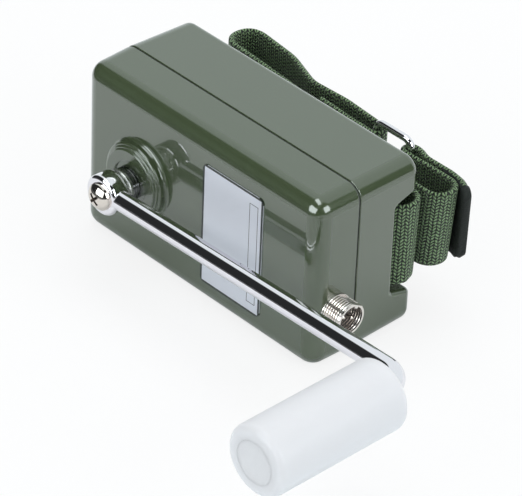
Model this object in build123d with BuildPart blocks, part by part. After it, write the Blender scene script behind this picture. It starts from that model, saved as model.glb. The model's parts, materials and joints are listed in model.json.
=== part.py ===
from build123d import *
import os
from math import acos, asin, cos, hypot, pi, radians, sin, sqrt, tan

# Hand crank generator. Millimetres. +X runs along the housing towards the socket end,
# -Y is the front, where the crank is, and +Z is up. The origin is the centre of the
# housing's underside, which it stands on.

os.makedirs("parts", exist_ok=True)

# ---------------------------------------------------------------- driving dimensions
# Housing: two drafted castings that meet at a seam
length = 114.0                   # along X, at the seam
height = 65.6                    # along Z, at the seam
front_depth = 17.9               # seam to front face
rear_depth = 27.1                # seam to back face
draft = tan(radians(1.4))        # both castings narrow away from the seam
wall = 2.6
edge_radius = 5.8                # long edges and the front rim
back_radius = 2.6                # rim of the back face
gasket_thickness = 0.6

# Strap channel across the back face
channel_depth = 9.6
channel_floor = 34.4             # height of the channel at its floor
channel_mouth = 40.0             # and at the back face

# Crank
hub_x = -length / 4              # the crank shaft is a quarter of the length in
arm_length = 140.0               # hub axis to grip axis
arm_tilt = 1.64                  # degrees above the horizontal, as it rests
rod_radius = 3.5
bend_radius = 8.5
eye_radius = 7.3
eye_thickness = 7.0
grip_radius = 12.3
grip_length = 54.0

# Webbing strap
strap_width = 32.0
strap_thickness = 2.2
ring_wire = 1.3                  # wire radius of the strap's ring

# Fits
running = 0.05                   # radial clearance of a turning fit
seated = 0.02                    # radial clearance of a fixed fit

# Places that follow from these
front_face = -(front_depth + rear_depth) / 2
seam = front_face + front_depth
back_face = seam + rear_depth
axis_z = height / 2
front_floor = front_face + wall              # inner face of the front casting
channel_y = back_face - channel_depth        # outer face of the channel's floor
inner_rear = channel_y - wall                # inner face behind the channel


# ------------------------------------------------------------------------- helpers
def facing(y):
    """Sketch plane at depth y whose sketch axes are X and Z."""
    return Plane(origin=(0, y, 0), x_dir=(1, 0, 0), z_dir=(0, -1, 0))


def side(x):
    """Sketch plane at x whose sketch axes are Y and Z."""
    return Plane(origin=(x, 0, 0), x_dir=(0, 1, 0), z_dir=(1, 0, 0))


def disc(x, z, radius, front, back, mode=Mode.ADD):
    """Round disc about an axis along Y, from depth front to depth back."""
    with BuildSketch(facing(back)) as outline:
        with Locations((x, z)):
            Circle(radius)
    extrude(outline.sketch, amount=back - front, mode=mode)


def disc_x(y, z, radius, left, right, mode=Mode.ADD):
    """Round disc about an axis along X, from left to right."""
    with BuildSketch(side(left)) as outline:
        with Locations((y, z)):
            Circle(radius)
    extrude(outline.sketch, amount=right - left, mode=mode)


def slab(x, z, wide, high, front, back, corner=0.0, mode=Mode.ADD):
    """Rectangular plate that faces the front, from depth front to depth back."""
    with BuildSketch(facing(back)) as outline:
        with Locations((x, z)):
            if corner > 0:
                RectangleRounded(wide, high, corner)
            else:
                Rectangle(wide, high)
    extrude(outline.sketch, amount=back - front, mode=mode)


def hand_in(builder, name):
    """Label a finished piece and write it to its own file."""
    builder.part.label = name
    export_step(builder.part, f"parts/{name}.step")


def drafted_block(y_open, y_end, inset, long_radius, end_radius):
    """Block that narrows from the seam to its end face and has a level underside."""
    outline = []
    for y in (y_open, y_end):
        lean = draft * abs(y - seam) + inset
        outline.append((y, length / 2 - lean, height - lean))
    (_, half_open, top_open), (_, half_end, top_end) = outline
    with BuildPart() as block:
        with BuildSketch(Plane.XY):
            Polygon((-half_open, y_open), (half_open, y_open), (half_end, y_end),
                    (-half_end, y_end), align=None)
        extrude(amount=height)
        with BuildSketch(side(-length / 2)):
            Polygon((y_open, inset), (y_open, top_open), (y_end, top_end), (y_end, inset),
                    align=None)
        extrude(amount=length, mode=Mode.INTERSECT)
        ends = block.faces().sort_by(Axis.Y)
        end_face = ends[-1] if y_end > y_open else ends[0]
        open_face = ends[0] if y_end > y_open else ends[-1]
        fillet(block.edges() - end_face.edges() - open_face.edges(), long_radius)
        ends = block.faces().sort_by(Axis.Y)
        end_face = ends[-1] if y_end > y_open else ends[0]
        fillet(end_face.edges(), end_radius)
    return block.part


def channel_bar(floor_y, half_floor, half_mouth):
    """Bar of the strap channel's section, along the whole housing and out of its back."""
    reach = back_face + 2 - floor_y
    flare = (half_mouth - half_floor) * reach / channel_depth
    with BuildPart() as bar:
        with BuildSketch(side(-length / 2 - 2)):
            with BuildLine():
                Polyline(
                    (floor_y, axis_z - half_floor),
                    (floor_y, axis_z + half_floor),
                    (floor_y + reach, axis_z + half_floor + flare),
                    (floor_y + reach, axis_z - half_floor - flare),
                    close=True,
                )
            make_face()
        extrude(amount=length + 4)
    return bar.part


# ---------------------------------------------------------------- housing castings
post_x = 48.0                    # the four housing screws
post_z = 26.0
post_radius = 4.6
plate_posts = [(-6, axis_z + 26), (38, axis_z + 26), (50, axis_z + 9.2),
               (-8, axis_z - 26), (12, axis_z - 26)]
screw_posts = [(sx * post_x, axis_z + sz * post_z) for sx in (-1, 1) for sz in (-1, 1)]
plate_front = seam + 0.2         # gear plate, just behind the seam
plate_back = plate_front + 2.5

boss_radius = 13.6               # stepped boss round the crank shaft
boss_height = 4.5
boss_top = front_face - boss_height
seal_radius = 7.6
seal_seat = 2.4 - boss_height    # floor of the seal's bore, from the front face
bearing_radius = 10.5
socket_y = -13.15                # axis of the output socket
socket_z = 21.7
socket_radius = 6.0

first_pin = (2.5, axis_z)
second_pin_angle = radians(25)
second_pin = (first_pin[0] + 24.8 * cos(second_pin_angle), axis_z + 24.8 * sin(second_pin_angle))
rotor_angle = radians(-75)
rotor_axis = (second_pin[0] + 19.8 * cos(rotor_angle), second_pin[1] + 19.8 * sin(rotor_angle))
pin_radius = 2.5

front_open = seam - gasket_thickness / 2
front_outer = drafted_block(front_open, front_face, 0, edge_radius, edge_radius)
front_cavity = drafted_block(front_open, front_floor, wall, edge_radius - wall, edge_radius - wall)

with BuildPart() as front_housing:
    add(front_outer)
    rim = front_housing.faces().sort_by(Axis.Y)[-1].edges()
    fillet(rim, 0.35)
    add(front_cavity, mode=Mode.SUBTRACT)
    # the boss round the crank shaft, in rounded steps
    with BuildSketch(Plane.XY.offset(axis_z)) as boss_half:
        with BuildLine():
            steps = [(0, 1.5), (15.2, 1.5), (15.2, 0), (boss_radius, 0),
                     (boss_radius, -3.0), (12.7, -3.0), (12.7, -3.8), (11.9, -3.8),
                     (11.9, -boss_height), (seal_radius, -boss_height),
                     (seal_radius, seal_seat), (0, seal_seat)]
            corners = [(hub_x + r, front_face + y) for r, y in steps]
            FilletPolyline(*corners, radius=[0, 0, 1.2, 0.7, 0.15, 0.5, 0.15, 0.5, 0.4, 0])
            Line(corners[-1], corners[0])
        make_face()
    revolve(boss_half.sketch, axis=Axis((hub_x, 0, axis_z), (0, 1, 0)))
    disc(hub_x, axis_z, seal_radius - 1.2, boss_top, boss_top + 4, mode=Mode.SUBTRACT)
    disc(hub_x, axis_z, bearing_radius, boss_top + 2.8, front_floor + 2, mode=Mode.SUBTRACT)
    # posts for the housing screws and the gear plate, and seats for the two gear pins
    for x, z in screw_posts:
        disc(x, z, post_radius, front_floor - 0.5, front_open)
        disc(x, z, 1.7, front_floor + 2, front_open, mode=Mode.SUBTRACT)
    for x, z in plate_posts:
        disc(x, z, 3.2, front_floor - 0.5, plate_front)
        disc(x, z, 1.3, front_floor + 4, plate_front, mode=Mode.SUBTRACT)
    for x, z in (first_pin, second_pin):
        disc(x, z, 4.6, front_floor - 0.5, front_floor + 0.7)
        disc(x, z, pin_radius + seated, front_floor - 1.3, front_floor + 1, mode=Mode.SUBTRACT)
    # boss with the tapped hole for the output socket
    disc_x(socket_y, socket_z, socket_radius + 2, length / 2 - 7.5, length / 2 - 2.2)
    disc_x(socket_y, socket_z, socket_radius + seated, length / 2 - 8, length / 2 + 1,
           mode=Mode.SUBTRACT)
hand_in(front_housing, "front_housing")

rear_open = seam + gasket_thickness / 2
rear_outer = drafted_block(rear_open, back_face, 0, edge_radius, back_radius)
rear_cavity = drafted_block(rear_open, back_face - wall, wall, edge_radius - wall, 1.2)
channel_cut = channel_bar(channel_y, channel_floor / 2, channel_mouth / 2)
channel_wall = channel_bar(channel_y - wall, channel_floor / 2 + wall, channel_mouth / 2 + wall)
clamp_screws = [(0, axis_z - 8.5), (0, axis_z + 8.5)]

with BuildPart() as rear_cavity_shape:
    add(rear_cavity)
    add(channel_wall, mode=Mode.SUBTRACT)

with BuildPart() as rear_housing:
    add(rear_outer)
    rim = rear_housing.faces().sort_by(Axis.Y)[0].edges()
    fillet(rim, 0.35)
    add(channel_cut, mode=Mode.SUBTRACT)
    channel_edges = rear_housing.edges().filter_by(Axis.X)
    floor_edges = channel_edges.filter_by(lambda edge: abs(edge.center().Y - channel_y) < 0.1)
    fillet(floor_edges, 1.2)
    lip_edges = rear_housing.edges().filter_by(Axis.X)
    lip_edges = lip_edges.filter_by(lambda edge: abs(edge.center().Y - back_face) < 0.1)
    lip_edges = lip_edges.filter_by(lambda edge: abs(edge.center().Z - axis_z) < 22)
    fillet(lip_edges, 1.6)
    add(rear_cavity_shape.part, mode=Mode.SUBTRACT)
    for x, z in screw_posts:
        disc(x, z, post_radius, rear_open, back_face - wall + 0.5)
        disc(x, z, 2.1, rear_open - 1, back_face + 1, mode=Mode.SUBTRACT)
        disc(x, z, 3.4, back_face - 4.2, back_face + 1, mode=Mode.SUBTRACT)
    for x, z in clamp_screws:
        disc(x, z, 1.5 + seated, inner_rear + 0.5, channel_y + 1, mode=Mode.SUBTRACT)
hand_in(rear_housing, "rear_housing")

with BuildPart() as housing_gasket:
    with BuildSketch(facing(rear_open)):
        with Locations((0, axis_z)):
            RectangleRounded(length - 0.9, height - 0.9, edge_radius - 0.45)
            RectangleRounded(length - 2 * wall, height - 2 * wall, edge_radius - wall,
                             mode=Mode.SUBTRACT)
    extrude(amount=gasket_thickness)
    for x, z in screw_posts:
        disc(x, z, post_radius + 0.2, front_open, rear_open, mode=Mode.SUBTRACT)
hand_in(housing_gasket, "housing_gasket")


# ------------------------------------------------------------------------ fasteners
def cap_screw(x, z, seat, head_radius, head_height, shank_radius, shank_length):
    """Cheese-head screw driven in from the back; its head sits on the face at depth seat."""
    disc(x, z, head_radius, seat, seat + head_height)
    disc(x, z, shank_radius, seat - shank_length, seat)
    for wide, high in ((head_radius * 1.2, 0.9), (0.9, head_radius * 1.2)):
        slab(x, z, wide, high, seat + head_height - 1.2, seat + head_height + 1, mode=Mode.SUBTRACT)


with BuildPart() as housing_screws:
    for x, z in screw_posts:
        cap_screw(x, z, back_face - 4.2, 3.1, 2.6, 1.65, 36)
hand_in(housing_screws, "housing_screws")

# ------------------------------------------------------------------- rating plate
plate_x = 17.1
plate_z = axis_z - 1.0
plate_wide = 28.6
plate_high = 46.8
plate_thick = 0.4

with BuildPart() as rating_plate:
    slab(plate_x, plate_z, plate_wide, plate_high, front_face - plate_thick, front_face, 2.0)
hand_in(rating_plate, "rating_plate")

# ------------------------------------------------------------------- output socket
socket_face = length / 2 - draft * (seam - socket_y)     # housing side at the socket
socket_rim = socket_face + 7.4
thread_pitch = 1.0
thread_count = 5
bore_radius = 4.9

with BuildPart() as socket_shell:
    with BuildSketch(Plane.XY.offset(socket_z)):
        with BuildLine():
            profile = [(51.4, bore_radius), (51.4, socket_radius)]
            thread_start = socket_face + 0.8
            for turn in range(thread_count):
                root = thread_start + turn * thread_pitch
                profile += [(root, socket_radius), (root + 0.25, 5.5),
                            (root + 0.45, 5.5), (root + 0.7, socket_radius)]
            profile += [(socket_rim - 0.3, socket_radius), (socket_rim, 5.7),
                        (socket_rim, bore_radius)]
            Polyline([(x, socket_y + r) for x, r in profile], close=True)
        make_face()
    revolve(axis=Axis((0, socket_y, socket_z), (1, 0, 0)))
    # flat along the thread, which keys the plug's nut
    flat_angle = 60
    with BuildSketch(side(socket_face + 0.6)):
        with Locations(Location((socket_y, socket_z), flat_angle)):
            with Locations((7.35, 0)):
                Rectangle(4, 12)
    extrude(amount=socket_rim, mode=Mode.SUBTRACT)
    # key inside the rim
    with BuildSketch(side(socket_face + 1.5)):
        with Locations(Location((socket_y, socket_z), flat_angle)):
            with Locations((bore_radius - 0.25, 0)):
                Rectangle(1.1, 1.5)
    extrude(amount=socket_rim - socket_face - 1.7)
hand_in(socket_shell, "socket_shell")

pin_offset = (1.9, -0.95)
socket_pin_radius = 0.6

with BuildPart() as socket_insulator:
    disc_x(socket_y, socket_z, bore_radius - seated, 51.0, socket_face + 1.3)
    for sign in (-1, 1):
        disc_x(socket_y + sign * pin_offset[0], socket_z + sign * pin_offset[1],
               socket_pin_radius + seated, 50, socket_rim, mode=Mode.SUBTRACT)
hand_in(socket_insulator, "socket_insulator")

with BuildPart() as socket_pins:
    for sign in (-1, 1):
        disc_x(socket_y + sign * pin_offset[0], socket_z + sign * pin_offset[1],
               socket_pin_radius, 48.5, socket_rim - 1.4)
    chamfer(socket_pins.faces().filter_by(Axis.X).group_by(Axis.X)[-1].edges(), 0.25)
hand_in(socket_pins, "socket_pins")

# --------------------------------------------------------------------------- crank
arm_direction = (cos(radians(arm_tilt)), sin(radians(arm_tilt)))
eye_y = boss_top - 5.8 - eye_thickness / 2
eye_front = eye_y - eye_thickness / 2
eye_back = eye_y + eye_thickness / 2
grip_x = hub_x + arm_length * arm_direction[0]
grip_z = axis_z + arm_length * arm_direction[1]
grip_back = eye_y - bend_radius - 1.4        # end of the grip nearest the arm
grip_front = grip_back - grip_length
spigot_radius = 4.6
spigot_flats = 7.4
recess_floor = grip_front + 7.0              # recess in the grip's end for the clip
clip_y = recess_floor - 0.2 - 0.8


def double_d(front, back, grow, mode=Mode.ADD):
    """Round section with two flats on the hub axis, turned with the arm."""
    with BuildSketch(facing(back)) as section:
        with Locations((hub_x, axis_z)):
            Circle(spigot_radius + grow)
        with Locations(Location((hub_x, axis_z), arm_tilt)):
            Rectangle(2 * spigot_radius + 2, spigot_flats + 2 * grow, mode=Mode.INTERSECT)
    extrude(section.sketch, amount=back - front, mode=mode)


with BuildPart() as crank_arm:
    disc(hub_x, axis_z, eye_radius, eye_front, eye_back)
    fillet(crank_arm.edges().filter_by(GeomType.CIRCLE), 1.4)
    arm_start = (hub_x + 3 * arm_direction[0], eye_y, axis_z + 3 * arm_direction[1])
    with BuildLine():
        FilletPolyline(
            arm_start,
            (grip_x, eye_y, grip_z),
            (grip_x, clip_y - 1.4, grip_z),
            radius=bend_radius,
        )
    with BuildSketch(Plane(origin=arm_start, z_dir=(arm_direction[0], 0, arm_direction[1]))):
        Circle(rod_radius)
    sweep()
    double_d(eye_front - 1, eye_back + 1, seated, mode=Mode.SUBTRACT)
    # groove for the clip that keeps the grip on
    with BuildSketch(facing(clip_y + 0.8)):
        with Locations((grip_x, grip_z)):
            Circle(rod_radius + 1)
            Circle(rod_radius - 0.6, mode=Mode.SUBTRACT)
    extrude(amount=0.8, mode=Mode.SUBTRACT)
    chamfer(crank_arm.edges().filter_by(GeomType.CIRCLE).sort_by(Axis.Y)[0], 0.5)
hand_in(crank_arm, "crank_arm")

with BuildPart() as crank_screw:
    head_height = 2.9
    with BuildSketch(Plane.XY.offset(axis_z)):
        with BuildLine():
            Line((hub_x, eye_front), (hub_x + 5.0, eye_front))
            Line((hub_x + 5.0, eye_front), (hub_x + 4.8, eye_front - 0.9))
            ThreePointArc((hub_x + 4.8, eye_front - 0.9), (hub_x + 3.1, eye_front - 2.35),
                          (hub_x, eye_front - head_height))
            Line((hub_x, eye_front - head_height), (hub_x, eye_front))
        make_face()
    revolve(axis=Axis((hub_x, 0, axis_z), (0, 1, 0)))
    disc(hub_x, axis_z, 2.5, eye_front, eye_front + 14)
    for turn in (45, 135):
        with BuildSketch(facing(eye_front - 1.2)) as slot:
            with Locations(Location((hub_x, axis_z), turn)):
                Rectangle(4.6, 1.0)
        extrude(slot.sketch, amount=3, mode=Mode.SUBTRACT)
hand_in(crank_screw, "crank_screw")

with BuildPart() as spring_washer:
    disc(hub_x, axis_z, 5.9, eye_back, eye_back + 1.2)
    disc(hub_x, axis_z, spigot_radius + 0.1, eye_back, eye_back + 1.2, mode=Mode.SUBTRACT)
    slab(hub_x, axis_z - 6, 0.8, 8, eye_back, eye_back + 1.2, mode=Mode.SUBTRACT)
hand_in(spring_washer, "spring_washer")

with BuildPart() as hub_washer:
    disc(hub_x, axis_z, 6.3, eye_back + 1.2, eye_back + 2.4)
    fillet(hub_washer.edges(), 0.3)
    disc(hub_x, axis_z, spigot_radius + 0.1, eye_back, eye_back + 2.4, mode=Mode.SUBTRACT)
hand_in(hub_washer, "hub_washer")

with BuildPart() as grip:
    disc(grip_x, grip_z, grip_radius, grip_front, grip_back)
    fillet(grip.edges().filter_by(GeomType.CIRCLE), 2.6)
    disc(grip_x, grip_z, rod_radius + running, grip_front, grip_back, mode=Mode.SUBTRACT)
    disc(grip_x, grip_z, 7.5, grip_front, recess_floor, mode=Mode.SUBTRACT)
hand_in(grip, "grip")

with BuildPart() as grip_cap:
    disc(grip_x, grip_z, 7.5 - seated, grip_front, grip_front + 1.8)
    disc(grip_x, grip_z, 6.9, grip_front + 1.8, grip_front + 2.6)
    disc(grip_x, grip_z, 5.9, grip_front + 1.8, grip_front + 2.6, mode=Mode.SUBTRACT)
hand_in(grip_cap, "grip_cap")

with BuildPart() as grip_clip:
    with BuildSketch(facing(clip_y + 0.75)):
        with Locations((grip_x, grip_z)):
            Circle(5.6)
            Circle(rod_radius - 0.6 + seated, mode=Mode.SUBTRACT)
        with Locations((grip_x, grip_z - 5)):
            Rectangle(4.6, 6, mode=Mode.SUBTRACT)
    extrude(amount=0.7)
hand_in(grip_clip, "grip_clip")

# ---------------------------------------------------------------------- gear train
# Three pairs of spur gears raise the crank's speed to the rotor's. Stub teeth let a
# pinion of 14 teeth run without undercut.
pressure = radians(20)
pinion_teeth = 14
drive_teeth, drive_module = 48, 1.0
second_teeth, second_module = 48, 0.8
third_teeth, third_module = 52, 0.6
gear_backlash = 0.14             # of a module-1 pair, at the pitch circle
drive_plane = (front_floor + 1.2, front_floor + 6.7)       # front and back of each pair
second_plane = (front_floor + 7.3, front_floor + 11.3)
third_plane = (front_floor + 11.9, front_floor + 14.9)


def involute(angle):
    return tan(angle) - angle


def gear_outline(teeth, module, tooth_at, flank_points):
    """Points round a spur gear with one tooth centred on the angle tooth_at, in radians."""
    pitch_radius = teeth * module / 2
    base_radius = pitch_radius * cos(pressure)
    root_radius = pitch_radius - 1.05 * module
    tip_radius = pitch_radius + 0.8 * module
    pitch_half = (pi / 2 - gear_backlash / 2) / teeth
    flank_start = max(root_radius, base_radius)
    radii = [flank_start + (tip_radius - flank_start) * i / (flank_points - 1)
             for i in range(flank_points)]
    halves = [pitch_half + involute(pressure) - involute(acos(min(1, base_radius / r)))
              for r in radii]
    if root_radius < base_radius:
        radii = [root_radius] + radii
        halves = [halves[0]] + halves
    points = []
    for tooth in range(teeth):
        centre = tooth_at + 2 * pi * tooth / teeth
        rising = [(r, centre - half) for r, half in zip(radii, halves)]
        falling = [(r, centre + half) for r, half in zip(radii, halves)][::-1]
        points += [(r * cos(a), r * sin(a)) for r, a in rising + falling]
    return points


def toothed(x, z, teeth, module, tooth_at, plane, flank_points=3):
    """Toothed disc between the two depths of a gear plane."""
    points = gear_outline(teeth, module, tooth_at, flank_points)
    with BuildSketch(facing(plane[1])) as outline:
        with BuildLine():
            Polyline([(x + px, z + pz) for px, pz in points], close=True)
        make_face()
    extrude(outline.sketch, amount=plane[1] - plane[0])


# directions from each gear to the one it drives; a tooth of the driver lies on the
# line of centres and a space of the driven one faces it
to_first = 0.0
to_second = second_pin_angle
to_rotor = rotor_angle
half_space = pi / pinion_teeth
shaft_step = front_floor + 0.8
gear_bore = 5.0
key_wide = 2.0

with BuildPart() as drive_gear:
    toothed(hub_x, axis_z, drive_teeth, drive_module, to_first, drive_plane)
    disc(hub_x, axis_z, gear_bore + seated, *drive_plane, mode=Mode.SUBTRACT)
    slab(hub_x, axis_z + gear_bore, key_wide + 0.04, 2.4, *drive_plane, mode=Mode.SUBTRACT)
    for y in (drive_plane[0], drive_plane[1]):
        with BuildSketch(facing(y + 1.4)) as web:
            with Locations((hub_x, axis_z)):
                Circle(20.5)
                Circle(9.0, mode=Mode.SUBTRACT)
        extrude(web.sketch, amount=2.8, mode=Mode.SUBTRACT)
    for spoke in range(6):
        angle = radians(60 * spoke)
        disc(hub_x + 14.7 * cos(angle), axis_z + 14.7 * sin(angle), 4.0, *drive_plane,
             mode=Mode.SUBTRACT)
hand_in(drive_gear, "drive_gear")

with BuildPart() as crank_shaft:
    disc(hub_x, axis_z, 6.0, eye_back + 2.4, shaft_step)
    disc(hub_x, axis_z, gear_bore, shaft_step, drive_plane[1] + 1.6)
    disc(hub_x, axis_z, 4.0, drive_plane[1] + 1.6, plate_back)
    double_d(eye_front + 0.4, eye_back + 2.4, 0)
    disc(hub_x, axis_z, 2.5 + seated, eye_front, eye_front + 14.5, mode=Mode.SUBTRACT)
    # ribbed collar between the boss and the washers
    for rib in range(3):
        groove = eye_back + 2.4 + 0.5 + rib * 0.9
        with BuildSketch(facing(groove + 0.45)) as ring:
            with Locations((hub_x, axis_z)):
                Circle(7.0)
                Circle(5.6, mode=Mode.SUBTRACT)
        extrude(ring.sketch, amount=0.45, mode=Mode.SUBTRACT)
    # groove for the ring that keeps the drive gear on
    with BuildSketch(facing(drive_plane[1] + 0.9)) as ring:
        with Locations((hub_x, axis_z)):
            Circle(gear_bore + 1)
            Circle(gear_bore - 0.5, mode=Mode.SUBTRACT)
    extrude(ring.sketch, amount=0.8, mode=Mode.SUBTRACT)
    # keyway
    slab(hub_x, axis_z + gear_bore, key_wide + 0.04, 2.4, *drive_plane, mode=Mode.SUBTRACT)
hand_in(crank_shaft, "crank_shaft")

with BuildPart() as gear_key:
    slab(hub_x, axis_z + gear_bore, key_wide, 2.36, drive_plane[0] + 0.1, drive_plane[1] - 0.1)
hand_in(gear_key, "gear_key")

with BuildPart() as gear_ring:
    with BuildSketch(facing(drive_plane[1] + 0.85)):
        with Locations((hub_x, axis_z)):
            Circle(7.0)
            Circle(gear_bore - 0.5 + seated, mode=Mode.SUBTRACT)
        with Locations((hub_x, axis_z - 6)):
            Rectangle(3.0, 6, mode=Mode.SUBTRACT)
    extrude(amount=0.7)
hand_in(gear_ring, "gear_ring")

with BuildPart() as shaft_seal:
    disc(hub_x, axis_z, seal_radius - seated, boss_top + 0.6, boss_top + 2.4)
    disc(hub_x, axis_z, 6.0 + running, boss_top, boss_top + 3, mode=Mode.SUBTRACT)
hand_in(shaft_seal, "shaft_seal")

bearing_front = boss_top + 2.8
with BuildPart() as front_bearing:
    disc(hub_x, axis_z, bearing_radius - seated, bearing_front, bearing_front + 5)
    disc(hub_x, axis_z, 7.3 + running, bearing_front, bearing_front + 5, mode=Mode.SUBTRACT)
hand_in(front_bearing, "front_bearing")

with BuildPart() as front_bearing_inner:
    disc(hub_x, axis_z, 7.3, bearing_front, bearing_front + 5)
    disc(hub_x, axis_z, 6.0 + seated, bearing_front, bearing_front + 5, mode=Mode.SUBTRACT)
hand_in(front_bearing_inner, "front_bearing_inner")

with BuildPart() as rear_bush:
    disc(hub_x, axis_z, 6.0 - seated, plate_front, plate_back)
    disc(hub_x, axis_z, 7.0, plate_front - 0.8, plate_front)
    disc(hub_x, axis_z, 4.0 + running, plate_front - 1, plate_back, mode=Mode.SUBTRACT)
hand_in(rear_bush, "rear_bush")

# The plate that carries the rear ends of the shafts and, behind it, the generator,
# which is held by three ears
wire_hole = (44.5, axis_z + 16.2)
ear_angles = [radians(a) for a in (65, 175, 335)]
ears = [(rotor_axis[0] + 22.4 * cos(a), rotor_axis[1] + 22.4 * sin(a)) for a in ear_angles]
with BuildPart() as gear_plate:
    slab(0, axis_z, 105, 57.4, plate_front, plate_back, 2.0)
    for x, z in screw_posts:
        slab(x + (3 if x > 0 else -3), z + (2 if z > axis_z else -2), 16.4, 14.6,
             plate_front, plate_back, mode=Mode.SUBTRACT)
    for x, z in plate_posts:
        disc(x, z, 1.5, plate_front, plate_back, mode=Mode.SUBTRACT)
    disc(hub_x, axis_z, 6.0, plate_front, plate_back, mode=Mode.SUBTRACT)
    for x, z in (first_pin, second_pin):
        disc(x, z, pin_radius - 0.5 + seated, plate_front, plate_back, mode=Mode.SUBTRACT)
    disc(*rotor_axis, 4.5, plate_front, plate_back, mode=Mode.SUBTRACT)
    disc(*wire_hole, 3.0, plate_front, plate_back, mode=Mode.SUBTRACT)
    for x, z in ears:
        disc(x, z, 1.25, plate_front, plate_back, mode=Mode.SUBTRACT)
hand_in(gear_plate, "gear_plate")

with BuildPart() as plate_screws:
    for x, z in plate_posts:
        cap_screw(x, z, plate_back, 2.6, 1.8, 1.25, 8)
hand_in(plate_screws, "plate_screws")


def gear_pin(at, front, back):
    """Fixed pin with a stepped end in the gear plate."""
    disc(*at, pin_radius, front, plate_front)
    disc(*at, pin_radius - 0.5, plate_front, back)


with BuildPart() as first_gear_pin:
    gear_pin(first_pin, front_floor - 1.2, plate_back)
hand_in(first_gear_pin, "first_gear_pin")

with BuildPart() as second_gear_pin:
    gear_pin(second_pin, front_floor - 1.2, plate_back)
hand_in(second_gear_pin, "second_gear_pin")

with BuildPart() as first_gear:
    toothed(*first_pin, pinion_teeth, drive_module, to_first + pi + half_space,
            (drive_plane[0], second_plane[0]), 4)
    toothed(*first_pin, second_teeth, second_module, to_second, second_plane)
    disc(*first_pin, pin_radius + running, drive_plane[0], second_plane[1], mode=Mode.SUBTRACT)
    for spoke in range(5):
        angle = to_second + radians(72 * spoke)
        disc(first_pin[0] + 13 * cos(angle), first_pin[1] + 13 * sin(angle), 3.6,
             second_plane[0], second_plane[1], mode=Mode.SUBTRACT)
hand_in(first_gear, "first_gear")

with BuildPart() as second_gear:
    toothed(*second_pin, pinion_teeth, second_module, to_second + pi + half_space,
            (second_plane[0], third_plane[0]), 4)
    toothed(*second_pin, third_teeth, third_module, to_rotor, third_plane)
    disc(*second_pin, pin_radius + running, second_plane[0], third_plane[1],
         mode=Mode.SUBTRACT)
hand_in(second_gear, "second_gear")

with BuildPart() as gear_spacers:
    for at, front, back in (
        (first_pin, second_plane[1] + 0.1, plate_front - 0.1),
        (second_pin, front_floor + 0.8, second_plane[0] - 0.1),
    ):
        disc(*at, 3.4, front, back)
        disc(*at, pin_radius + seated, front, back, mode=Mode.SUBTRACT)
hand_in(gear_spacers, "gear_spacers")

# ----------------------------------------------------------------------- generator
stator_front = plate_back + 2.0
stator_back = stator_front + 6.5
cup_back = inner_rear - 0.4
rotor_shaft_radius = 2.0
stator_outer = 18.6
stator_bore = 10.6
magnet_radius = 10.0
slots = 9

with BuildPart() as rotor_shaft:
    disc(*rotor_axis, rotor_shaft_radius, third_plane[0] - 0.4, cup_back - 0.9)
hand_in(rotor_shaft, "rotor_shaft")

with BuildPart() as rotor_pinion:
    toothed(*rotor_axis, pinion_teeth, third_module, to_rotor + pi + half_space,
            third_plane, 4)
    disc(*rotor_axis, rotor_shaft_radius + seated, *third_plane, mode=Mode.SUBTRACT)
hand_in(rotor_pinion, "rotor_pinion")

with BuildPart() as rotor_core:
    disc(*rotor_axis, 7.0, stator_front - 0.2, stator_back + 0.2)
    disc(*rotor_axis, rotor_shaft_radius + seated, stator_front - 1, stator_back + 1,
         mode=Mode.SUBTRACT)
hand_in(rotor_core, "rotor_core")

with BuildPart() as rotor_magnet:
    disc(*rotor_axis, magnet_radius, stator_front - 0.2, stator_back + 0.2)
    disc(*rotor_axis, 7.0 + seated, stator_front - 1, stator_back + 1, mode=Mode.SUBTRACT)
hand_in(rotor_magnet, "rotor_magnet")

with BuildPart() as rotor_front_bearing:
    disc(*rotor_axis, 4.5 - seated, plate_front, plate_back)
    disc(*rotor_axis, rotor_shaft_radius + running, plate_front, plate_back,
         mode=Mode.SUBTRACT)
hand_in(rotor_front_bearing, "rotor_front_bearing")

with BuildPart() as rotor_rear_bearing:
    disc(*rotor_axis, 4.5 - seated, cup_back - 3.1, cup_back - 0.6)
    disc(*rotor_axis, rotor_shaft_radius + running, cup_back - 4, cup_back,
         mode=Mode.SUBTRACT)
hand_in(rotor_rear_bearing, "rotor_rear_bearing")

with BuildPart() as stator_core:
    with BuildSketch(facing(stator_back)):
        with Locations(rotor_axis):
            Circle(stator_outer)
            Circle(16.2, mode=Mode.SUBTRACT)
            with PolarLocations(14.2, slots):
                Rectangle(5.0, 3.0)
            Circle(12.0)
            Circle(stator_bore, mode=Mode.SUBTRACT)
            with PolarLocations(11.3, slots, start_angle=180 / slots):
                Rectangle(3.0, 2.2, mode=Mode.SUBTRACT)
    extrude(amount=stator_back - stator_front)
hand_in(stator_core, "stator_core")

coil_overhang = 1.5
with BuildPart() as stator_windings:
    with BuildSketch(facing(stator_back + coil_overhang)) as coils:
        with Locations(rotor_axis):
            with PolarLocations(13.9, slots):
                Rectangle(3.4, 7.4)
    extrude(amount=stator_back - stator_front + 2 * coil_overhang)
    with BuildSketch(facing(stator_back + 0.05)) as teeth_space:
        with Locations(rotor_axis):
            with PolarLocations(13.9, slots):
                Rectangle(4.0, 3.1)
    extrude(amount=stator_back - stator_front + 0.1, mode=Mode.SUBTRACT)
hand_in(stator_windings, "stator_windings")

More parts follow.
